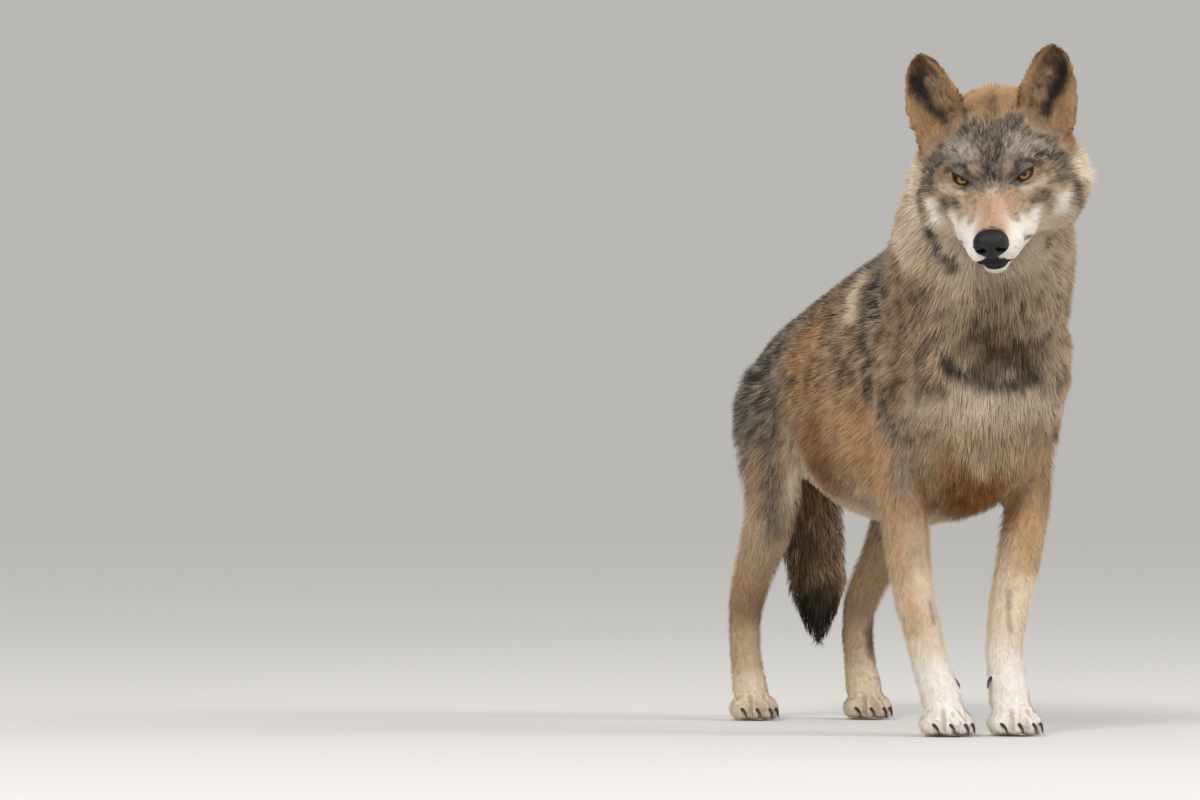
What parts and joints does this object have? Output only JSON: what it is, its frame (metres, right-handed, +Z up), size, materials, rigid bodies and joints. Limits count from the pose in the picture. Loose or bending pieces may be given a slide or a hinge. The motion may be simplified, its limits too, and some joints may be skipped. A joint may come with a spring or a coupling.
{
  "type": "grey wolf",
  "caption": "Life-size still model of a grey wolf in winter coat, standing on level ground with its head lowered and turned to its right.",
  "frame": {"origin": "on the ground, under the middle of the bounding box", "axes": "+Z up, the trunk's forward direction is -Y, the wolf's left side is +X; the longest extent, nose to tail, runs along Y"},
  "size_m": [0.3272, 1.1738, 0.9041],
  "materials": {
    "grey_fur": "thick grizzled grey-brown winter coat",
    "tan_fur": "short tan fur on ears and legs",
    "pale_fur": "short pale fur on chin and paws",
    "rufous_fur": "long dark rufous brush with a black tip",
    "nose_leather": "moist pebbled black leather",
    "claw_horn": "dark worn horn",
    "eye": "wet amber iris with a round black pupil"
  },
  "bodies": {
    "root": {"head": "grey_fur", "neck": "grey_fur", "trunk": "grey_fur", "lower_jaw": "pale_fur", "nose": "nose_leather", "tail": "rufous_fur", "ear_right": "tan_fur", "eye_right": "eye", "foreleg_right": "tan_fur", "hindleg_right": "tan_fur", "forepaw_right": "pale_fur", "hindpaw_right": "pale_fur", "dewclaw_right": "claw_horn", "claw_fore_right_1": "claw_horn", "claw_fore_right_2": "claw_horn", "claw_fore_right_3": "claw_horn", "claw_fore_right_4": "claw_horn", "claw_hind_right_1": "claw_horn", "claw_hind_right_2": "claw_horn", "claw_hind_right_3": "claw_horn", "claw_hind_right_4": "claw_horn", "ear_left": "tan_fur", "eye_left": "eye", "foreleg_left": "tan_fur", "hindleg_left": "tan_fur", "forepaw_left": "pale_fur", "hindpaw_left": "pale_fur", "dewclaw_left": "claw_horn", "claw_fore_left_1": "claw_horn", "claw_fore_left_2": "claw_horn", "claw_fore_left_3": "claw_horn", "claw_fore_left_4": "claw_horn", "claw_hind_left_1": "claw_horn", "claw_hind_left_2": "claw_horn", "claw_hind_left_3": "claw_horn", "claw_hind_left_4": "claw_horn"}
  },
  "joints": []
}
